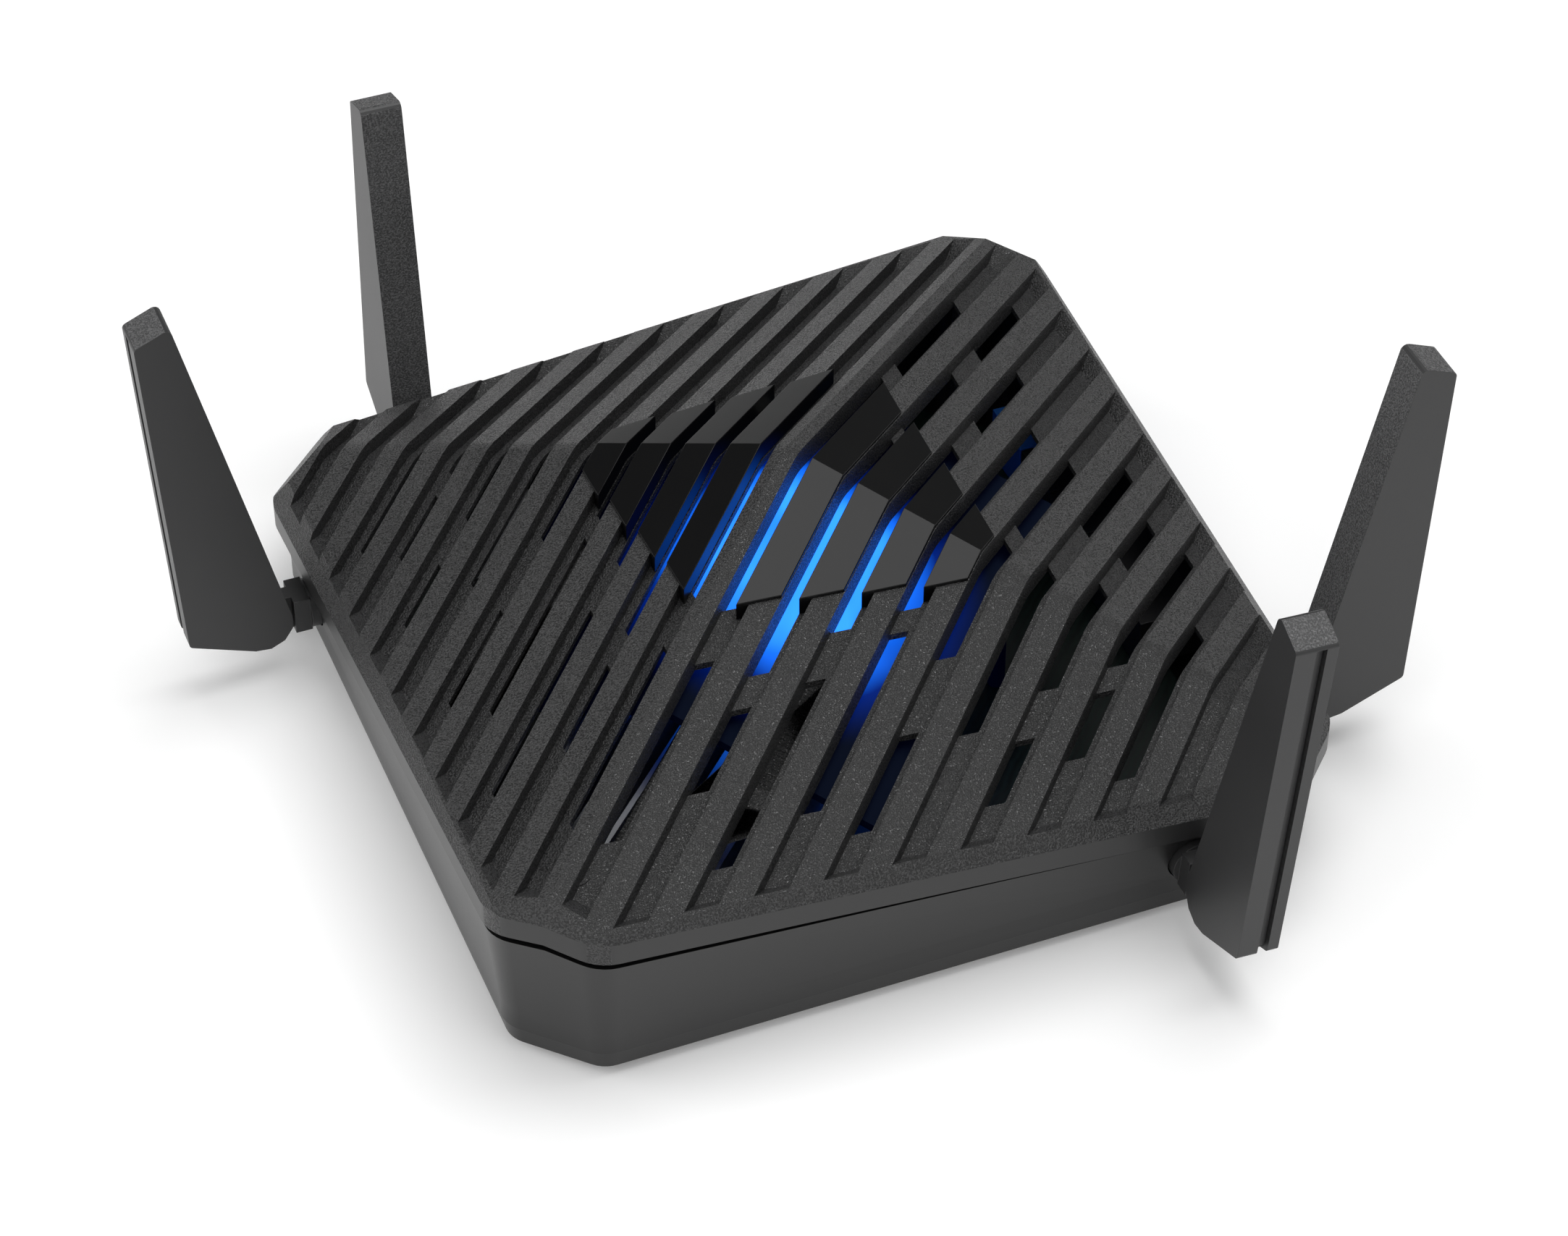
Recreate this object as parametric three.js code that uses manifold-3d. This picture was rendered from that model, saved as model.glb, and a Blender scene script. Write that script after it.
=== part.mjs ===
// Wireless router: a low square housing on its corner, a slatted peaked cover with a lit core,
// and four hinged fin antennas. Millimetres, +Z up, front corner towards -Y, feet on z = 0.
import * as THREE from "three";
import { mergeVertices } from "three/addons/utils/BufferGeometryUtils.js";
import Module from "manifold-3d";

const wasm = await Module();
wasm.setup();

// Plan of the body: a square standing on its corner, with all four corners cut and rounded.
const PITCH = 11;
const SIDE_REACH = 139.5;
const CUT_X = 126.4;
const CUT_Y = 126.8;
const CORNER_RADIUS = 11;

// Heights of the cover: four facets from the apex, a bevel to the rim, and a rim that dips sideways.
const APEX = 77.2;
const FALL_X = 0.3233;
const FALL_Y = 0.2208;
const RIM_MID = 45.4;
const RIM_FALL = 0.1264;
const RIM_BAND = 5.5;
const SHADOW_GAP = 2;
const BEVEL = 1.2;
const SKIN = 5.5;
const COVER_WALL = 2.2;

// Slats along Y, the grooves between them and the slots through the groove floors, in pitches.
const GROOVE_DEPTH = 3.9;
const GROOVE_HALF = 0.25;
const SLOT_OUTER = 0.05;
const GROOVE_END = 3.9;
const RAMP = 5;
const SLOTS = {
  0.5: [[-9.45, -5.1], [-3.75, 4.45], [5.2, 8.6]],
  1.5: [[-7.65, -5.6], [-4.75, 2.55], [3.15, 5.95], [7.25, 9.6]],
  2.5: [[-8.8, -4.25], [-3.0, 3.45], [4.7, 7.25]],
  3.5: [[-6.85, -2.4], [-1.8, 5.5]],
  4.5: [[-6.7, -4.3], [-2.4, 1.3], [1.95, 5.1]],
  5.5: [[-3.65, 1.2], [3.15, 5.9]],
  6.5: [[-4.75, -3.15], [-1.9, 1.55], [2.75, 4.5]],
  7.5: [[-3.0, -1.3], [-0.65, 4.1]],
  8.5: [[-2.85, 1.85]],
};

// Smooth plates over the middle slats.
const PLATE_HALF_LENGTHS = [3.8, 3.0, 2.2, 1.4];
const PLATE_THICK = 0.8;
const PLATE_GAP = 0.1;

// Housing.
const FOOT_HEIGHT = 1.5;
const FLOOR_TOP = 3.5;
const SCREW_SPOTS = [[0, -112], [107, 0], [0, 112], [-107, 0]];
const FOOT_SPOTS = [[52, -52], [52, 52], [-52, 52], [-52, -52]];
const BOARD_POSTS = [[70, -20], [70, 20], [-70, 20], [-70, -20], [35, 50], [-35, 50], [35, -70], [-35, -70]];
const BOARD_BOTTOM = 5.9;
const BOARD_TOP = 7.5;

// Ports and buttons on the two back walls, as places along the wall.
const JACK_SPOTS = [-18.5, -1.5, 15.5, 32.5, 49.5];
const JACK_WIDTH = 16.6;
const JACK_BOTTOM = 7.8;
const JACK_TOP = 21.3;
const PORT_FACE = 95;
const POWER_SPOT = -42;
const POWER_Z = 13.3;
const BUTTONS = [
  { name: "power_button", along: -16, radius: 4 },
  { name: "pairing_button", along: 4, radius: 2.6 },
];

// Antennas: direction of the wall, side of the wall, place along it, and rest lean outward and
// sideways in degrees.
const ANTENNAS = [
  { wall: 225, side: -1, along: 55.9, lean: 2.8, sway: 0 },
  { wall: 135, side: 1, along: 55.9, lean: -4.1, sway: 0 },
  { wall: 45, side: -1, along: 55.9, lean: 2.1, sway: 0.5 },
  { wall: -45, side: 1, along: 57.4, lean: 1.5, sway: 3.4 },
];
const HINGE_OUT = 109.5;
const HINGE_Z = 17.2;
const FIN_HALF = 4.9;
const FIN = [[-9.2, -12], [17.9, 0.5], [17.9, 88.7], [9.3, 91.9]];
const FIN_ROUNDS = [7, 1.2, 1.2, 1.5];
const STRIP_HALF = 1.2;
const STRIP_SHIFT = 1.1;
const ARM_RADIUS = 5.8;
const TONGUE_HALF = 2;
const PIN_RADIUS = 1.5;

const finish = (color, roughness, metalness = 0) =>
  new THREE.MeshStandardMaterial({ color, roughness, metalness });
const SLAT_BLACK = finish(0x1b1b1c, 0.6);
const SATIN_BLACK = finish(0x141414, 0.45);
const GLOSS_BLACK = finish(0x0c0c0d, 0.25);
const ANTENNA_BLACK = finish(0x1c1c1d, 0.5);
const LIGHT = finish(0x2a9dff, 0.4);
const GREEN_BOARD = finish(0x123f2a, 0.5);
const TIN = finish(0xb8babc, 0.35, 1);
const ALUMINIUM = finish(0x9a9da0, 0.4, 1);
const STEEL = finish(0x8c8f92, 0.35, 1);
const RUBBER = finish(0x202020, 0.9);
const JACK_BLACK = finish(0x161616, 0.5);
const JACK_BLUE = finish(0x1f5fa8, 0.5);
const COAX = finish(0x0f0f0f, 0.5);

const router = new THREE.Group();
router.name = "wireless_router";

// A closed three.js geometry as a solid for booleans.
function solidOf(geometry) {
  const bare = geometry.clone();
  bare.deleteAttribute("normal");
  bare.deleteAttribute("uv");
  const merged = mergeVertices(bare, 1e-4);
  const mesh = new wasm.Mesh({
    numProp: 3,
    vertProperties: merged.attributes.position.array,
    triVerts: new Uint32Array(merged.index.array),
  });
  return new wasm.Manifold(mesh);
}

// Adds a solid to the router as a named mesh, moved by an optional matrix.
function addNode(name, solid, material, matrix) {
  const shape = solid.getMesh();
  const indexed = new THREE.BufferGeometry();
  indexed.setAttribute("position", new THREE.BufferAttribute(shape.vertProperties, 3));
  indexed.setIndex(new THREE.BufferAttribute(shape.triVerts, 1));
  const geometry = indexed.toNonIndexed();
  if (matrix) geometry.applyMatrix4(matrix);
  geometry.computeVertexNormals();
  const mesh = new THREE.Mesh(geometry, material);
  mesh.name = name;
  router.add(mesh);
}

// A solid through rings of points, lowest first, each counter-clockwise from above.
function stack(rings) {
  const points = rings.flat();
  const count = rings[0].length;
  const faces = [];
  for (let i = 1; i < count - 1; i += 1) faces.push(0, i + 1, i);
  for (let level = 0; level < rings.length - 1; level += 1) {
    const low = level * count;
    const high = low + count;
    const closes = rings[level + 1].length === 1;
    for (let i = 0; i < count; i += 1) {
      const next = (i + 1) % count;
      if (closes) {
        faces.push(low + i, low + next, high);
      } else {
        faces.push(low + i, low + next, high + next, low + i, high + next, high + i);
      }
    }
  }
  const top = (rings.length - 1) * count;
  if (rings.at(-1).length > 1) {
    for (let i = 1; i < count - 1; i += 1) faces.push(top, top + i, top + i + 1);
  }
  const geometry = new THREE.BufferGeometry();
  geometry.setAttribute("position", new THREE.Float32BufferAttribute(points.flat(), 3));
  geometry.setIndex(faces);
  return solidOf(geometry);
}

// Rounds each corner of a convex polygon given counter-clockwise.
function rounded(corners, radii, steps) {
  const points = [];
  corners.forEach((corner, i) => {
    const radius = Array.isArray(radii) ? radii[i] : radii;
    const here = new THREE.Vector2(...corner);
    const before = new THREE.Vector2(...corners.at(i - 1));
    const after = new THREE.Vector2(...corners[(i + 1) % corners.length]);
    const back = before.sub(here).normalize();
    const ahead = after.sub(here).normalize();
    const half = Math.acos(THREE.MathUtils.clamp(back.dot(ahead), -1, 1)) / 2;
    const bisector = back.clone().add(ahead).normalize();
    const centre = here.clone().addScaledVector(bisector, radius / Math.sin(half));
    const reach = radius / Math.tan(half);
    const start = here.clone().addScaledVector(back, reach).sub(centre);
    const turn = Math.PI - 2 * half;
    for (let step = 0; step <= steps; step += 1) {
      const spoke = start.clone().rotateAround(new THREE.Vector2(), (turn * step) / steps);
      points.push([centre.x + spoke.x, centre.y + spoke.y]);
    }
  });
  return points;
}

// The body's plan, moved in by an inset, as a ring at a height.
function outline(inset, z) {
  const reach = SIDE_REACH - inset * Math.SQRT2;
  const x = CUT_X - inset;
  const y = CUT_Y - inset;
  const sideways = reach - x;
  const across = reach - y;
  const corners = [
    [x, -sideways], [x, sideways], [across, y], [-across, y],
    [-x, sideways], [-x, -sideways], [-across, -y], [across, -y],
  ];
  return rounded(corners, CORNER_RADIUS - inset, 5).map(([px, py]) => [px, py, z]);
}

// The region under a four-sided peak on the Z axis.
function peak(apex, fallX, fallY) {
  const base = -60;
  const x = (apex - base) / fallX;
  const y = (apex - base) / fallY;
  return stack([[[x, 0, base], [0, y, base], [-x, 0, base], [0, -y, base]], [[0, 0, apex]]]);
}

// A plate cut from a profile in X and Z, between two places on Y.
function slab(profile, y0, y1) {
  const shape = new THREE.Shape(profile.map(([x, z]) => new THREE.Vector2(x, z)));
  const geometry = new THREE.ExtrudeGeometry(shape, { depth: y1 - y0, bevelEnabled: false });
  geometry.translate(0, 0, -y1);
  geometry.rotateX(Math.PI / 2);
  return solidOf(geometry);
}

// The region under a roof ridge that runs along Y.
function ridge(apex, fall) {
  const far = 200;
  const eave = apex - fall * far;
  return slab([[-far, -300], [far, -300], [far, eave], [0, apex], [-far, eave]], -far, far);
}

function box(x0, x1, y0, y1, z0, z1) {
  const geometry = new THREE.BoxGeometry(x1 - x0, y1 - y0, z1 - z0);
  geometry.translate((x0 + x1) / 2, (y0 + y1) / 2, (z0 + z1) / 2);
  return solidOf(geometry);
}

// A round bar along an axis: "x", "y" or "z", from one place to another.
function bar(axis, radius, from, to, at = [0, 0], sides = 20) {
  const geometry = new THREE.CylinderGeometry(radius, radius, to - from, sides);
  geometry.translate(0, (from + to) / 2, 0);
  if (axis === "x") geometry.rotateZ(-Math.PI / 2).translate(0, at[0], at[1]);
  if (axis === "y") geometry.translate(at[0], 0, at[1]);
  if (axis === "z") geometry.rotateX(Math.PI / 2).translate(at[0], at[1], 0);
  return solidOf(geometry);
}

// A wall's own frame: X out of the wall, Y along it, Z up.
const wallFrame = (degrees) => new THREE.Matrix4().makeRotationZ(THREE.MathUtils.degToRad(degrees));
const moved = (solid, matrix) => solid.transform(matrix.elements);

// Height of the cover's outer surface.
function coverHeight(x, y) {
  const across = Math.abs(x);
  const along = Math.abs(y);
  const rim = RIM_MID - RIM_FALL * across;
  const facets = APEX - FALL_X * across - FALL_Y * along;
  const sides = rim + (BEVEL * (SIDE_REACH - across - along)) / Math.SQRT2;
  const corners = rim + BEVEL * Math.min(CUT_X - across, CUT_Y - along);
  return Math.min(facets, sides, corners);
}

// Where the facets meet the bevel, along Y, at a given x.
function bevelStart(x) {
  const slope = BEVEL / Math.SQRT2;
  const across = Math.abs(x);
  const rim = RIM_MID - RIM_FALL * across;
  return (rim + slope * (SIDE_REACH - across) - APEX + FALL_X * across) / (slope - FALL_Y);
}

// A bar that follows the cover: stations hold the Y of the inner and outer edge and two heights
// measured from the surface.
function roofBar(inner, outer, stations) {
  const flip = inner > outer;
  const rings = stations.map(({ yInner, yOuter, low, high }) => {
    const ring = [
      [inner, yInner, coverHeight(inner, yInner) + low],
      [inner, yInner, coverHeight(inner, yInner) + high],
      [outer, yOuter, coverHeight(outer, yOuter) + high],
      [outer, yOuter, coverHeight(outer, yOuter) + low],
    ];
    return flip ? ring.reverse() : ring;
  });
  return stack(rings);
}

// Stations between two ends cut at 45 degrees, with the fold at y = 0 in between.
function slantedStations(inner, outer, y0, y1, low, high) {
  const width = Math.abs(outer - inner);
  const ends = [y0, y1].map((y) => ({
    yInner: y,
    yOuter: y - Math.sign(y) * width,
    low,
    high,
  }));
  const stations = y0 < 0 && y1 > 0 ? [ends[0], { yInner: 0, yOuter: 0, low, high }, ends[1]] : ends;
  return stations;
}

// ---- Top cover: a peaked shell with grooves, slots and four screw posts.
const sideBevel = BEVEL / Math.SQRT2;
const coverPlanes = stack([outline(0, 10), outline(0, 90)])
  .intersect(peak(APEX, FALL_X, FALL_Y))
  .intersect(peak(RIM_MID + sideBevel * SIDE_REACH, RIM_FALL + sideBevel, sideBevel))
  .intersect(peak(RIM_MID + BEVEL * CUT_Y, RIM_FALL, BEVEL))
  .intersect(ridge(RIM_MID + BEVEL * CUT_X, RIM_FALL + BEVEL));
const coverHollow = moved(coverPlanes, new THREE.Matrix4().makeTranslation(0, 0, -SKIN))
  .intersect(stack([outline(COVER_WALL, 0), outline(COVER_WALL, 90)]));
let cover = coverPlanes.subtract(coverHollow).subtract(ridge(RIM_MID - RIM_BAND, RIM_FALL));

for (const side of [-1, 1]) {
  for (let j = 0.5; j < 11; j += 1) {
    const inner = side * (j - GROOVE_HALF) * PITCH;
    const outer = side * (j + GROOVE_HALF) * PITCH;
    const end = (x) => Math.min(SIDE_REACH - Math.abs(x), CUT_Y) - GROOVE_END;
    const station = (place, low) => ({
      yInner: place(inner),
      yOuter: place(outer),
      low,
      high: 4,
    });
    const kink = (x) => Math.max(1, Math.min(bevelStart(x), end(x) - RAMP - 0.5));
    const half = [
      station(() => 0, -GROOVE_DEPTH),
      station(kink, -GROOVE_DEPTH),
      station((x) => end(x) - RAMP, -GROOVE_DEPTH),
      station(end, 0),
    ];
    const mirrored = half.slice(1).reverse().map((s) => ({ ...s, yInner: -s.yInner, yOuter: -s.yOuter }));
    cover = cover.subtract(roofBar(inner, outer, [...mirrored, ...half]));
    const slotOuter = side * (j + SLOT_OUTER) * PITCH;
    for (const [from, to] of SLOTS[j] ?? []) {
      const stations = slantedStations(inner, slotOuter, from * PITCH, to * PITCH, -SKIN - 3, 2);
      cover = cover.subtract(roofBar(inner, slotOuter, stations));
    }
  }
}
for (const [x, y] of SCREW_SPOTS) {
  cover = cover.add(bar("z", 4, BOARD_BOTTOM, coverHeight(x, y) - 5, [x, y], 16));
  cover = cover.subtract(bar("z", 1.7, 4, 16, [x, y], 12));
}
addNode("top_cover", cover, SLAT_BLACK);

// ---- Eight smooth plates, one over each of the middle slats and the ledge beside it.
for (const side of [-1, 1]) {
  PLATE_HALF_LENGTHS.forEach((half, i) => {
    const k = i + 1;
    const inner = side * ((k - 0.45) * PITCH + 0.1);
    const outer = side * ((k + 0.25) * PITCH - 0.1);
    const lip = side * ((k - 0.25) * PITCH - 0.15);
    const reach = half * PITCH;
    const top = slantedStations(inner, outer, -reach, reach, PLATE_GAP, PLATE_GAP + PLATE_THICK);
    const skirt = slantedStations(inner, lip, -reach, reach, 0.3 - GROOVE_DEPTH, PLATE_GAP + PLATE_THICK);
    const plate = roofBar(inner, outer, top).add(roofBar(inner, lip, skirt));
    addNode(`trim_plate_${side < 0 ? "left" : "right"}_${k}`, plate, GLOSS_BLACK);
  });
}

// ---- Lower housing: a tapered tub whose rim follows the cover, with a recessed neck under it.
let housing = stack([outline(5.6, FOOT_HEIGHT), outline(3.9, 3.2), outline(0.3, 40)])
  .intersect(ridge(RIM_MID - RIM_BAND - SHADOW_GAP, RIM_FALL));
housing = housing.add(stack([outline(2.9, 8), outline(2.9, 60)]).intersect(ridge(RIM_MID - 4, RIM_FALL)));
housing = housing.subtract(stack([outline(6.2, FLOOR_TOP), outline(5.1, 60)]));
for (const [x, y] of SCREW_SPOTS) {
  housing = housing.add(bar("z", 6, 2.5, 5.5, [x, y], 16));
  housing = housing.subtract(bar("z", 3.4, 0, 3.7, [x, y], 16)).subtract(bar("z", 1.8, 0, 8, [x, y], 12));
}
for (const [x, y] of FOOT_SPOTS) housing = housing.subtract(bar("z", 8.3, 0, 2.3, [x, y]));
for (const [x, y] of BOARD_POSTS) housing = housing.add(bar("z", 3, 3, 5.6, [x, y], 12));
const jackWindow = box(80, 110, JACK_SPOTS[0] - 8.6, JACK_SPOTS.at(-1) + 8.6, 7.5, 21.6);
housing = housing.subtract(moved(jackWindow, wallFrame(45)));
const powerWindow = box(80, 110, POWER_SPOT - 5.3, POWER_SPOT + 5.3, 7.5, 19.1);
housing = housing.subtract(moved(powerWindow, wallFrame(135)));
for (const { along, radius } of BUTTONS) {
  const hole = bar("x", radius + 0.35, 80, 110, [along, POWER_Z]);
  housing = housing.subtract(moved(hole, wallFrame(135)));
}
for (const { wall, side, along } of ANTENNAS) {
  const hole = bar("x", ARM_RADIUS + 0.35, 80, 110, [side * along, HINGE_Z], 24);
  housing = housing.subtract(moved(hole, wallFrame(wall)));
}
addNode("lower_housing", housing, SATIN_BLACK);

// ---- Light guide and its board, under the middle of the cover.
const guideBox = box(-52, 52, -66, 42, 20, 80);
let guide = guideBox.intersect(peak(APEX - 8.3, FALL_X, FALL_Y)).subtract(peak(APEX - 10.3, FALL_X, FALL_Y));
for (const [x, y] of [[45, -26], [45, 18], [-45, 18], [-45, -26]]) {
  guide = guide.add(bar("z", 2, BOARD_TOP + 0.3, coverHeight(x, y) - 9.5, [x, y], 12));
}
addNode("light_guide", guide, LIGHT);

let ledBoard = box(-22, 22, -34, 14, 47, 48.6);
for (const [x, y] of [[18, -30], [18, 10], [-18, 10], [-18, -30]]) {
  ledBoard = ledBoard.add(bar("z", 2, BOARD_TOP + 0.3, 47.5, [x, y], 12));
}
addNode("led_board", ledBoard, GREEN_BOARD);

// ---- Main board with its shield cans and heat sink.
const boardLimits = box(-99, 99, -104, 104, BOARD_BOTTOM, BOARD_TOP);
const board = stack([outline(10.9, BOARD_BOTTOM), outline(10.9, BOARD_TOP)]).intersect(boardLimits);
let mainBoard = board;
for (const wall of [45, 135, 225, -45]) {
  mainBoard = mainBoard.subtract(moved(box(84, 110, -100, 100, 0, 20), wallFrame(wall)));
}
addNode("main_board", mainBoard, GREEN_BOARD);
addNode("shield_can_processor", box(-25, 25, -93, -43, BOARD_TOP + 0.3, 10.8), TIN);
addNode("shield_can_radio", box(-86, -52, 0, 34, BOARD_TOP + 0.3, 11), TIN);

let heatSink = box(-28, 28, -98, -38, 11.1, 14.1);
for (let i = 0; i < 14; i += 1) {
  const x = -27.4 + i * 4.1;
  heatSink = heatSink.add(box(x, x + 1.2, -98, -38, 14, 37));
}
addNode("heat_sink", heatSink, ALUMINIUM);

// ---- Five network jacks in the back right wall.
JACK_SPOTS.forEach((along, i) => {
  const half = JACK_WIDTH / 2;
  const jack = box(77, PORT_FACE, along - half, along + half, JACK_BOTTOM, JACK_TOP)
    .subtract(box(81.5, 100, along - 6.1, along + 6.1, 10.6, 18.8))
    .subtract(box(81.5, 100, along - 3.1, along + 3.1, 9.0, 11));
  const name = i === 4 ? "uplink_jack" : `network_jack_${i + 1}`;
  addNode(name, jack, i === 4 ? JACK_BLUE : JACK_BLACK, wallFrame(45));
});

// ---- Power jack and two push buttons in the back left wall.
const powerJack = box(81, PORT_FACE, POWER_SPOT - 5, POWER_SPOT + 5, 7.8, 18.8)
  .subtract(bar("x", 3.6, 85, 100, [POWER_SPOT, POWER_Z]))
  .add(bar("x", 1.05, 84, 90.2, [POWER_SPOT, POWER_Z], 12));
addNode("power_jack", powerJack, JACK_BLACK, wallFrame(135));
for (const { name, along, radius } of BUTTONS) {
  const button = bar("x", radius, 91, 97.4, [along, POWER_Z])
    .add(bar("x", radius + 1.4, 90.6, 92, [along, POWER_Z]));
  addNode(name, button, GLOSS_BLACK, wallFrame(135));
}

// ---- Feet and bottom screws.
FOOT_SPOTS.forEach(([x, y], i) => {
  const geometry = new THREE.CylinderGeometry(8, 7.6, 2, 32);
  geometry.rotateX(Math.PI / 2).translate(x, y, 1);
  addNode(`foot_${i + 1}`, solidOf(geometry), RUBBER);
});
SCREW_SPOTS.forEach(([x, y], i) => {
  const screw = bar("z", 3, 1.9, 3.4, [x, y], 16)
    .add(bar("z", 1.4, 3, 14, [x, y], 12))
    .subtract(box(x - 1.5, x + 1.5, y - 0.3, y + 0.3, 0, 2.7))
    .subtract(box(x - 0.3, x + 0.3, y - 1.5, y + 1.5, 0, 2.7));
  addNode(`screw_${i + 1}`, screw, STEEL);
});

// ---- Antennas: a swivelling arm in the wall, and a fin that folds on a cross pin. A board slides
// into the fin through the slot in its outer edge, and a strip closes the slot. The slot is nearer the
// face that looks away from the front or back corner, and the blind pin hole opens to the back.
const finProfile = rounded(FIN, FIN_ROUNDS, 4);
const boardSlot = [[-1.6, 14], [17, 14], [17, 84], [10.4, 84]];
const radiatorProfile = [[-0.8, 14.6], [14.6, 14.6], [14.6, 83.4], [10.9, 83.4]];
const tongueSlot = TONGUE_HALF + 0.3;
const solidFin = slab(finProfile, -FIN_HALF, FIN_HALF)
  .subtract(box(-14, -0.5, -tongueSlot, tongueSlot, -14, 5.6))
  .subtract(box(-14, 3.6, -tongueSlot, tongueSlot, -14, 0))
  .subtract(bar("y", 5.2, -tongueSlot, tongueSlot));
const edgeSlot = slab(boardSlot, -STRIP_HALF, STRIP_HALF)
  .add(box(14.9, 19, -STRIP_HALF, STRIP_HALF, -3, 88));
const strip = box(15.2, 16.5, 0.15 - STRIP_HALF, STRIP_HALF - 0.15, 1.4, 87.7);
const radiator = slab(radiatorProfile, -0.5, 0.5);

ANTENNAS.forEach(({ wall, side, along, lean, sway }, i) => {
  const name = `antenna_${i + 1}`;
  const toHinge = new THREE.Matrix4().makeTranslation(HINGE_OUT, side * along, HINGE_Z);
  const swivel = new THREE.Matrix4().makeRotationX(-side * THREE.MathUtils.degToRad(sway));
  const fold = new THREE.Matrix4().makeRotationY(THREE.MathUtils.degToRad(lean));
  const armPlace = wallFrame(wall).multiply(toHinge).multiply(swivel);
  const finPlace = armPlace.clone().multiply(fold);

  const arm = bar("x", 6.9, -18.9, -17.4)
    .add(bar("x", ARM_RADIUS, -17.6, -11.3, [0, 0], 24))
    .add(box(-11.5, -7.5, -4.3, 4.3, -4.65, 4.65))
    .add(box(-8, 0, -TONGUE_HALF, TONGUE_HALF, -4.65, 4.65))
    .add(bar("y", 4.65, -TONGUE_HALF, TONGUE_HALF))
    .subtract(bar("y", PIN_RADIUS + 0.3, -4, 4, [0, 0], 16));
  addNode(`${name}_arm`, arm, ANTENNA_BLACK, armPlace);
  const facesBack = Math.abs(wall) < 90;
  const pinHole = bar("y", PIN_RADIUS + 0.3, facesBack ? -4.3 : -6, facesBack ? 6 : 4.3, [0, 0], 16);
  const pin = bar("y", PIN_RADIUS, facesBack ? -4.1 : -4.6, facesBack ? 4.6 : 4.1, [0, 0], 16);
  const slotPlace = new THREE.Matrix4().makeTranslation(0, side * STRIP_SHIFT, 0);
  const shell = solidFin.subtract(pinHole).subtract(moved(edgeSlot, slotPlace));
  addNode(`${name}_shell`, shell, ANTENNA_BLACK, finPlace);
  addNode(`${name}_strip`, moved(strip, slotPlace), ANTENNA_BLACK, finPlace);
  addNode(`${name}_radiator`, moved(radiator, slotPlace), GREEN_BOARD, finPlace);
  addNode(`${name}_pin`, pin, STEEL, finPlace);

  const start = side * (along - 12);
  const path = new THREE.CatmullRomCurve3([
    new THREE.Vector3(79, start, BOARD_TOP + 1.3),
    new THREE.Vector3(82, start, BOARD_TOP + 1.6),
    new THREE.Vector3(85.5, side * (along - 8), 11.5),
    new THREE.Vector3(87, side * (along - 2), HINGE_Z),
    new THREE.Vector3(90, side * along, HINGE_Z),
  ]);
  const section = new THREE.Shape().absarc(0, 0, 0.8, 0, 2 * Math.PI);
  const lead = new THREE.ExtrudeGeometry(section, { extrudePath: path, steps: 10, curveSegments: 6 });
  addNode(`${name}_lead`, solidOf(lead), COAX, wallFrame(wall));
});

export default router;
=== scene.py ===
"""A desktop wireless router with a slatted, peaked cover, a lit core and four hinged antennas."""

import math

import bpy
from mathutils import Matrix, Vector


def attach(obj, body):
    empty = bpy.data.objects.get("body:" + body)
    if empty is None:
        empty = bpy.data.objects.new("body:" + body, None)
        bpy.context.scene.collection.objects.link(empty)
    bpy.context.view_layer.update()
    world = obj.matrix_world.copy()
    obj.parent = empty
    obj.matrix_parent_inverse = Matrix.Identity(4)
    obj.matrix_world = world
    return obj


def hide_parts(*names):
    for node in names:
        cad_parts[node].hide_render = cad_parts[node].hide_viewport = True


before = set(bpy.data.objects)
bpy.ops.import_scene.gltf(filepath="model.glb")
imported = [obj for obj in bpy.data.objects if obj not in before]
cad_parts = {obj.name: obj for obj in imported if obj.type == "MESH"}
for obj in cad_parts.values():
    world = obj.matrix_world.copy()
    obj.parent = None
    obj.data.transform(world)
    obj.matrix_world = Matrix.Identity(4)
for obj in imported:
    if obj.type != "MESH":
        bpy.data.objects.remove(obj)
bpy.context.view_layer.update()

# ---- Camera: stands in front of the front corner, a little to its right, and looks down on
# the cover.
view_turn = math.radians(23.35)
view_rise = math.radians(41.8)
view_distance = 1.021
aim = Vector((-0.0107, 0.0234, 0.0035))
towards_camera = Vector(
    (
        math.sin(view_turn) * math.cos(view_rise),
        -math.cos(view_turn) * math.cos(view_rise),
        math.sin(view_rise),
    )
)
bpy.ops.object.camera_add(location=aim + towards_camera * view_distance)
camera = bpy.context.object
camera.rotation_euler = towards_camera.to_track_quat("Z", "Y").to_euler()
camera.data.sensor_width = 36.0
camera.data.lens = 99.1
bpy.context.scene.camera = camera


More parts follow.
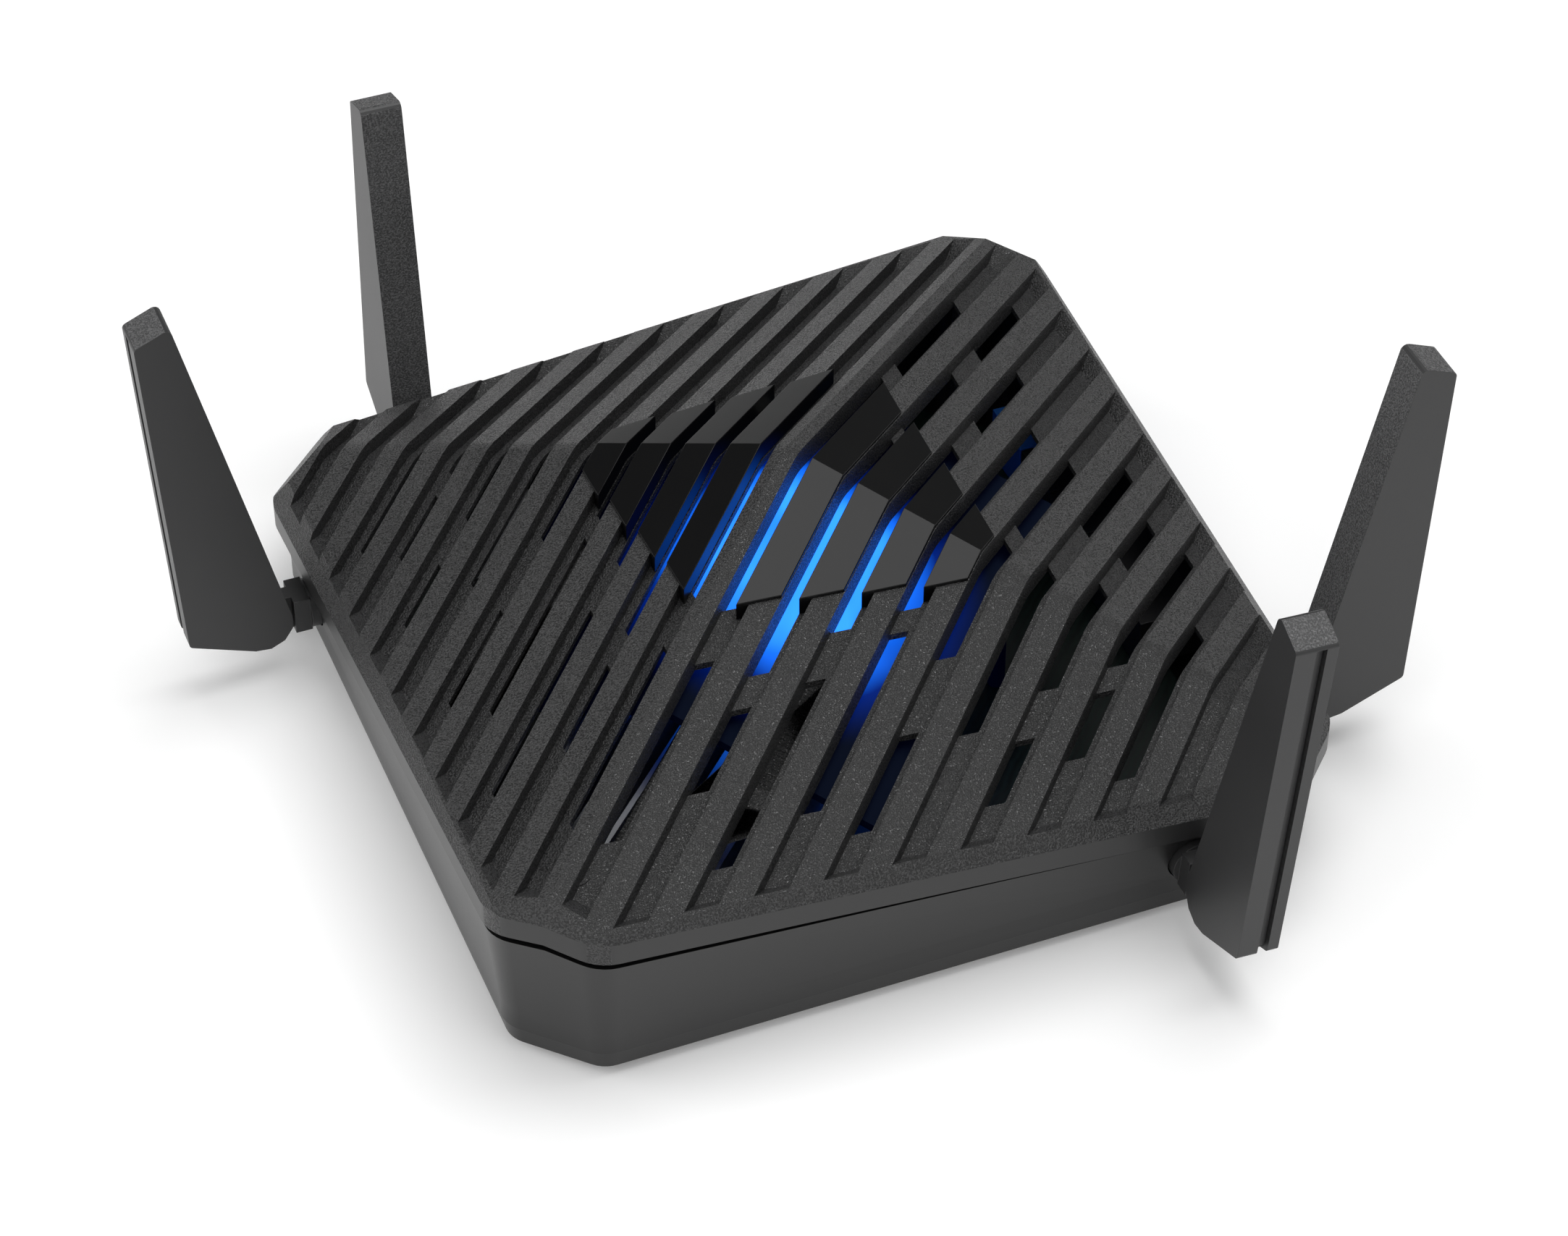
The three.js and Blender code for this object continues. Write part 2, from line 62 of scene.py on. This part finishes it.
# ---- Top cover: one moulded shell of charcoal plastic with a spark-eroded grain. Slats run
# over its four facets, and slots in the grooves between them let light and air through.
class Wire:
    """A shader socket. Arithmetic on it adds Math nodes, and node() adds any other node."""

    def __init__(self, tree, socket=None):
        self.tree = tree
        self.socket = socket

    def node(self, kind, settings=None, inputs=None, output=0):
        made = self.tree.nodes.new("ShaderNode" + kind)
        for name, value in (settings or {}).items():
            if name == "stops":
                ramp = made.color_ramp
                while len(ramp.elements) < len(value):
                    ramp.elements.new(1.0)
                for element, (place, colour) in zip(ramp.elements, value):
                    element.position = place
                    element.color = colour
            else:
                setattr(made, name, value)
        for name, value in (inputs or {}).items():
            if isinstance(value, Wire):
                self.tree.links.new(value.socket, made.inputs[name])
            else:
                made.inputs[name].default_value = value
        return Wire(self.tree, made.outputs[output])

    def maths(self, operation, first, second=0.0):
        return self.node("Math", {"operation": operation}, {0: first, 1: second})

    def __add__(self, other):
        return self.maths("ADD", self, other)

    def __sub__(self, other):
        return self.maths("SUBTRACT", self, other)

    def __mul__(self, other):
        return self.maths("MULTIPLY", self, other)

    def __rsub__(self, other):
        return self.maths("SUBTRACT", other, self)

    __radd__ = __add__
    __rmul__ = __mul__

    def between(self, first, second):
        """The colour this far from the first one to the second."""
        ends = {0: self, 6: (*first, 1), 7: (*second, 1)}
        return self.node("Mix", {"data_type": "RGBA"}, ends, output=2)


def new_finish(name, **constants):
    """A material, a Wire to build its nodes with, and its shader."""
    material = bpy.data.materials.new(name)
    material.use_nodes = True
    tree = material.node_tree
    shader = tree.nodes["Principled BSDF"]
    for socket, value in constants.items():
        shader.inputs[socket.replace("_", " ")].default_value = value
    return material, Wire(tree), shader


def feed(shader, socket, wire):
    wire.tree.links.new(wire.socket, shader.inputs[socket])


def grained_plastic(name, dark, light, grain, depth, roughness):
    """Moulded plastic whose fine pits scatter light: grain and depth are in metres."""
    material, wire, shader = new_finish(name)
    place = wire.node("TexCoord", output="Object")
    pits = wire.node("TexNoise", None, {"Vector": place, "Scale": 1 / grain, "Detail": 2.0})
    mottle = wire.node("TexNoise", None, {"Vector": place, "Scale": 60.0, "Detail": 3.0})
    speckle = wire.node("MapRange", None, {0: pits, 1: 0.4, 2: 0.66, 3: 0.0, 4: 1.0})
    feed(shader, "Base Color", (speckle * 0.8 + mottle * 0.2).between(dark, light))
    feed(shader, "Roughness", roughness - speckle * 0.22 + mottle * 0.08)
    bump = wire.node("Bump", None, {"Strength": 1.0, "Distance": depth, "Height": speckle})
    feed(shader, "Normal", bump)
    return material


def smooth_plastic(name, colour, roughness, smear, shine=0.5):
    """Moulded plastic with a polished mould: faint streaks and a very low ripple."""
    material, wire, shader = new_finish(name, Specular_IOR_Level=shine)
    place = wire.node("TexCoord", output="Object")
    clouds = wire.node("TexNoise", None, {"Vector": place, "Scale": 35.0, "Detail": 4.0})
    fine = wire.node("TexNoise", None, {"Vector": place, "Scale": 3200.0, "Detail": 1.0})
    feed(shader, "Base Color", clouds.between(colour, [c * 1.35 for c in colour]))
    feed(shader, "Roughness", roughness + clouds * smear - 0.5 * smear + fine * 0.04)
    bump = wire.node("Bump", None, {"Strength": 0.25, "Distance": 0.00003, "Height": fine})
    feed(shader, "Normal", bump)
    return material


def shown_as(piece, material):
    piece.data.materials.clear()
    piece.data.materials.append(material)


def choose_only(piece):
    bpy.ops.object.select_all(action="DESELECT")
    piece.select_set(True)
    bpy.context.view_layer.objects.active = piece


def select_edges(piece, wanted):
    """In edit mode, selects only the edges whose two ends pass a test."""
    bpy.ops.mesh.select_mode(type="EDGE")
    bpy.ops.mesh.select_all(action="DESELECT")
    bpy.ops.object.mode_set(mode="OBJECT")
    points = piece.data.vertices
    for edge in piece.data.edges:
        edge.select = all(wanted(points[i].co) for i in edge.vertices)
    bpy.ops.object.mode_set(mode="EDIT")


def merged_copy(node_name, name):
    """A copy of a CAD piece with its loose triangles merged into whole flat faces."""
    piece = bpy.data.objects.new(name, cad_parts[node_name].data.copy())
    bpy.context.collection.objects.link(piece)
    choose_only(piece)
    bpy.ops.object.mode_set(mode="EDIT")
    bpy.ops.mesh.select_all(action="SELECT")
    bpy.ops.mesh.remove_doubles(threshold=0.00001)
    bpy.ops.mesh.dissolve_limited(angle_limit=math.radians(0.6))
    bpy.ops.object.mode_set(mode="OBJECT")
    return piece


def soften_edges(piece, width, segments=2, sharper_than=22.0):
    """Rounds every edge that turns by more than an angle, and shades the piece to suit."""
    choose_only(piece)
    rounding = piece.modifiers.new("edge_rounding", "BEVEL")
    rounding.width = width
    rounding.segments = segments
    rounding.limit_method = "ANGLE"
    rounding.angle_limit = math.radians(sharper_than)
    rounding.miter_outer = "MITER_ARC"
    bpy.ops.object.modifier_apply(modifier=rounding.name)
    bpy.ops.object.shade_smooth_by_angle(angle=math.radians(35))
    weighting = piece.modifiers.new("flat_faces_stay_flat", "WEIGHTED_NORMAL")
    weighting.keep_sharp = True
    bpy.ops.object.modifier_apply(modifier=weighting.name)


def stands_for(piece, node_name, body):
    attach(piece, body)
    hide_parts(node_name)


charcoal_grain = grained_plastic(
    "charcoal_grain", (0.003, 0.003, 0.0031), (0.058, 0.058, 0.059), 0.0004, 0.0002, 0.44
)
slat_fold_radius = 0.0022
cover = merged_copy("top_cover", "slatted_cover")
bpy.ops.object.mode_set(mode="EDIT")
select_edges(cover, lambda point: abs(point.y) < 0.00002 and point.z > 0.03)
bpy.ops.mesh.bevel(offset=slat_fold_radius, segments=4, affect="EDGES")
bpy.ops.object.mode_set(mode="OBJECT")
soften_edges(cover, 0.00032)
shown_as(cover, charcoal_grain)
rim_satin = smooth_plastic("rim_satin", (0.012, 0.012, 0.0122), 0.36, 0.05)
cover.data.materials.append(rim_satin)
side_reach = 0.1395
cut_x = 0.1264
cut_y = 0.1268
for face in cover.data.polygons:
    across, along = abs(face.center.x), abs(face.center.y)
    past_side = (across + along - side_reach) / math.sqrt(2)
    if max(past_side, across - cut_x, along - cut_y) > -0.0003 and abs(face.normal.z) < 0.5:
        face.material_index = 1
stands_for(cover, "top_cover", "router")


# ---- Eight plates of smooth, slightly glossy plastic, one over each middle slat. Each is
# folded like the slat under it, with slanted ends, and clips onto the ledge beside it.
polished_black = smooth_plastic("polished_black", (0.0025, 0.0025, 0.0027), 0.3, 0.06, 0.24)
for side in ("left", "right"):
    for count in range(1, 5):
        node_name = f"trim_plate_{side}_{count}"
        plate = merged_copy(node_name, f"smooth_plate_{side}_{count}")
        soften_edges(plate, 0.00018)
        shown_as(plate, polished_black)
        stands_for(plate, node_name, "router")

# ---- Lower housing: a tapered tub of satin black plastic. Its neck stands back under the
# cover's rim, which leaves a dark shadow line all the way round.
satin_black = smooth_plastic("satin_black", (0.005, 0.005, 0.0051), 0.31, 0.05)
housing = merged_copy("lower_housing", "tapered_housing")
soften_edges(housing, 0.0005)
shown_as(housing, satin_black)
stands_for(housing, "lower_housing", "router")

# ---- Light guide: a translucent folded sheet under the middle of the cover, lit blue from
# below. It is brightest just in front of its middle and falls off to deep blue.
lit_guide, wire, shader = new_finish(
    "lit_guide", Roughness=0.8, Specular_IOR_Level=0.08, Emission_Strength=2.4
)
shader.inputs["Base Color"].default_value = (0.001, 0.004, 0.012, 1)
place = wire.node("TexCoord", output="Object")
glow_middle = (0.009, -0.019)
glow_narrowing = 0.92
spread = wire.node(
    "Mapping",
    None,
    {
        "Vector": place,
        1: (-glow_middle[0], -glow_middle[1], 0.0),
        3: (glow_narrowing, 1.0, 0.0),
    },
)
reach = wire.node("VectorMath", {"operation": "LENGTH"}, {0: spread}, output="Value")
glow = wire.node("MapRange", {"interpolation_type": "SMOOTHSTEP"}, {0: reach, 1: 0.042, 2: 0.014})
ripple = wire.node("TexNoise", None, {"Vector": place, "Scale": 45.0, "Detail": 2.0})
lit_colour = wire.node(
    "ValToRGB",
    {
        "stops": [
            (0.0, (0.0, 0.0, 0.001, 1)),
            (0.4, (0.0, 0.006, 0.08, 1)),
            (0.75, (0.004, 0.08, 0.5, 1)),
            (1.0, (0.019, 0.185, 1.0, 1)),
        ]
    },
    {0: glow * (0.55 + ripple * 0.9)},
)
feed(shader, "Emission Color", lit_colour)
shown_as(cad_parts["light_guide"], lit_guide)

# ---- Circuit boards, shield cans and heat sink. Glass-fibre boards under a dark green mask
# carry tinned sheet cans and an extruded aluminium sink, all seen only through the slots.
solder_mask, wire, shader = new_finish("solder_mask", Coat_Roughness=0.2)
shader.inputs["Coat Weight"].default_value = 0.4
place = wire.node("TexCoord", output="Object")
tracks = wire.node(
    "TexWave", {"wave_type": "BANDS"}, {"Vector": place, "Scale": 180.0, "Distortion": 6.0}
)
feed(shader, "Base Color", tracks.between((0.001, 0.006, 0.0035), (0.002, 0.014, 0.008)))
feed(shader, "Roughness", tracks * 0.1 + 0.4)
for node_name in ("main_board", "led_board"):
    shown_as(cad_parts[node_name], solder_mask)


def brushed_metal(name, colour, roughness, stretch):
    """Metal with fine scratches that run across the long way of stretch."""
    material, wire, shader = new_finish(name, Metallic=1.0)
    place = wire.node("TexCoord", output="Object")
    drawn = wire.node("Mapping", None, {"Vector": place, 3: stretch})
    scratches = wire.node("TexNoise", None, {"Vector": drawn, "Scale": 900.0, "Detail": 3.0})
    feed(shader, "Base Color", scratches.between([c * 0.8 for c in colour], colour))
    feed(shader, "Roughness", roughness + scratches * 0.2 - 0.1)
    bump = wire.node("Bump", None, {"Strength": 0.3, "Distance": 0.00002, "Height": scratches})
    feed(shader, "Normal", bump)
    return material


tinned_sheet = brushed_metal("tinned_sheet", (0.5, 0.5, 0.51), 0.4, (1.0, 0.1, 1.0))
sink_metal = brushed_metal("sink_metal", (0.42, 0.43, 0.44), 0.42, (1.0, 0.05, 1.0))
for node_name in ("shield_can_processor", "shield_can_radio"):
    shown_as(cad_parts[node_name], tinned_sheet)
shown_as(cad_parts["heat_sink"], sink_metal)

# ---- Network jacks: moulded sockets side by side in the back right wall. The uplink jack is
# blue, the other four are black.
jack_black = smooth_plastic("jack_black", (0.012, 0.012, 0.012), 0.45, 0.05)
jack_blue = smooth_plastic("jack_blue", (0.014, 0.12, 0.42), 0.4, 0.05)
jack_names = [f"network_jack_{count}" for count in range(1, 5)] + ["uplink_jack"]
for node_name in jack_names:
    blue = node_name == "uplink_jack"
    socket = merged_copy(node_name, node_name.replace("jack", "socket"))
    soften_edges(socket, 0.00022)
    shown_as(socket, jack_blue if blue else jack_black)
    stands_for(socket, node_name, "router")

# ---- Gilt contacts: eight spring wires hang from the roof of each network jack and slant down
# towards its back. One comb is bent from a short stub and copied to every jack.
gilt_spring = brushed_metal("gilt_spring", (0.75, 0.5, 0.16), 0.3, (1.0, 1.0, 1.0))
contact_pitch = 0.00102
first_contact = -3.5 * contact_pitch
mouth_end = 0.0925
jack_roof = 0.0187
bpy.ops.mesh.primitive_cube_add(size=1.0, location=(mouth_end, first_contact, jack_roof))
comb = bpy.context.object
comb.name = "gilt_comb"
comb.scale = (0.001, 0.00042, 0.0003)
bpy.ops.object.transform_apply(location=True, rotation=False, scale=True)
for step in ((-0.0072, 0.0, -0.0031), (-0.0012, 0.0, 0.0003)):
    bpy.ops.object.mode_set(mode="EDIT")
    bpy.ops.mesh.select_mode(type="FACE")
    bpy.ops.mesh.select_all(action="DESELECT")
    bpy.ops.object.mode_set(mode="OBJECT")
    back = min(comb.data.polygons, key=lambda face: face.center.x)
    back.select = True
    bpy.ops.object.mode_set(mode="EDIT")
    bpy.ops.mesh.extrude_region_move(TRANSFORM_OT_translate={"value": step})
    bpy.ops.object.mode_set(mode="OBJECT")
row_of_eight = comb.modifiers.new("row_of_eight", "ARRAY")
row_of_eight.count = 8
row_of_eight.use_relative_offset = False
row_of_eight.use_constant_offset = True
row_of_eight.constant_offset_displace = (0.0, contact_pitch, 0.0)
bpy.ops.object.modifier_apply(modifier=row_of_eight.name)
soften_edges(comb, 0.00006)
shown_as(comb, gilt_spring)
jack_spots = (-0.0185, -0.0015, 0.0155, 0.0325, 0.0495)
for count, spot in enumerate(jack_spots, start=1):
    choose_only(comb)
    bpy.ops.object.duplicate()
    contacts = bpy.context.object
    contacts.name = f"gilt_contacts_{count}"
    contacts.location.y = spot
    bpy.ops.object.transform_apply(location=True, rotation=False, scale=False)
    contacts.rotation_euler.z = math.radians(45)
    bpy.ops.object.transform_apply(location=False, rotation=True, scale=False)
    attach(contacts, "router")
bpy.data.objects.remove(comb)

# ---- Power jack and the two push buttons in the back left wall. The jack is a moulded block
# with a round bore and a centre pin, and each button is a glossy plastic cap in its own hole.
power_socket = merged_copy("power_jack", "power_socket")
soften_edges(power_socket, 0.0003)
shown_as(power_socket, jack_black)
stands_for(power_socket, "power_jack", "router")
for node_name in ("power_button", "pairing_button"):
    button = merged_copy(node_name, node_name.replace("button", "push_button"))
    soften_edges(button, 0.0005, segments=3)
    shown_as(button, polished_black)
    stands_for(button, node_name, node_name + "_body")

# ---- Rubber feet and bottom screws. The feet are matte discs glued into shallow pockets, and
# the zinc-plated cross-head screws go up through the floor into the cover's posts.
foot_rubber = grained_plastic(
    "foot_rubber", (0.012, 0.012, 0.012), (0.02, 0.02, 0.02), 0.0006, 0.00004, 0.85
)
zinc_steel = brushed_metal("zinc_steel", (0.42, 0.42, 0.43), 0.35, (1.0, 1.0, 0.1))
black_steel = brushed_metal("black_steel", (0.03, 0.03, 0.031), 0.4, (1.0, 1.0, 0.1))
for count in range(1, 5):
    foot = merged_copy(f"foot_{count}", f"rubber_foot_{count}")
    soften_edges(foot, 0.0004)
    shown_as(foot, foot_rubber)
    stands_for(foot, f"foot_{count}", "router")
    shown_as(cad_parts[f"screw_{count}"], zinc_steel)

# ---- Antennas: a swivelling arm comes out of the wall under the rim, and a fin folds on it.
# The fin is satin plastic with a grained inner edge and tip, and a strip closes the slot down
# its outer edge.
antenna_satin = smooth_plastic("antenna_satin", (0.02, 0.02, 0.0205), 0.42, 0.05)
antenna_grain = grained_plastic(
    "antenna_grain", (0.03, 0.03, 0.0305), (0.13, 0.13, 0.132), 0.0004, 0.0001, 0.5
)
antenna_walls = (225, 135, 45, -45)
cable_jacket = smooth_plastic("cable_jacket", (0.01, 0.01, 0.01), 0.5, 0.05)
for count in range(1, 5):
    antenna = f"antenna_{count}"
    fin = merged_copy(f"{antenna}_shell", f"{antenna}_fin_shell")
    soften_edges(fin, 0.0006, segments=3)
    shown_as(fin, antenna_satin)
    fin.data.materials.append(antenna_grain)
    outward = math.radians(antenna_walls[count - 1])
    inner_face = Vector((-math.cos(outward), -math.sin(outward), 0.18)).normalized()
    end_face = Vector((0.35 * math.cos(outward), 0.35 * math.sin(outward), 0.94)).normalized()
    for face in fin.data.polygons:
        if max(face.normal.dot(inner_face), face.normal.dot(end_face)) > 0.9:
            face.material_index = 1
    stands_for(fin, f"{antenna}_shell", f"{antenna}_fin")
    arm = merged_copy(f"{antenna}_arm", f"{antenna}_swivel_arm")
    soften_edges(arm, 0.0004)
    shown_as(arm, antenna_satin)
    stands_for(arm, f"{antenna}_arm", f"{antenna}_swivel")
    shown_as(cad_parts[f"{antenna}_strip"], antenna_satin)
    shown_as(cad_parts[f"{antenna}_radiator"], solder_mask)
    shown_as(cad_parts[f"{antenna}_pin"], black_steel)
    shown_as(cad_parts[f"{antenna}_lead"], cable_jacket)

# ---- Studio: a pale floor and a dim white surround. A broad soft light hangs overhead, and
# three more stand in front, to the right and to the left.
bpy.ops.mesh.primitive_plane_add(size=12.0, location=(0.0, 0.0, 0.0))
floor = bpy.context.object
floor.name = "studio_floor"
floor_finish, wire, shader = new_finish("floor_finish", Roughness=0.9, Emission_Strength=0.12)
shader.inputs["Base Color"].default_value = (0.9, 0.9, 0.9, 1)
shader.inputs["Emission Color"].default_value = (1.0, 1.0, 1.0, 1)
shown_as(floor, floor_finish)

surround = bpy.data.worlds.new("surround")
surround.use_nodes = True
surround.node_tree.nodes["Background"].inputs["Color"].default_value = (1.0, 1.0, 1.0, 1)
surround.node_tree.nodes["Background"].inputs["Strength"].default_value = 0.1
bpy.context.scene.world = surround


def soft_light(name, place, size, power):
    """A square area light that faces the router."""
    bpy.ops.object.light_add(type="AREA", location=place)
    light = bpy.context.object
    light.name = name
    light.data.size = size
    light.data.energy = power
    light.rotation_euler = Vector(place).to_track_quat("Z", "Y").to_euler()


soft_light("overhead_light", (0.25, 0.4, 1.7), 1.6, 27.0)
soft_light("front_light", (0.1, -1.4, 1.5), 1.6, 13.0)
soft_light("right_light", (1.6, -0.5, 1.0), 1.2, 5.0)
soft_light("left_light", (-1.6, -0.7, 0.8), 1.2, 13.0)
bpy.context.scene.view_settings.view_transform = "Standard"
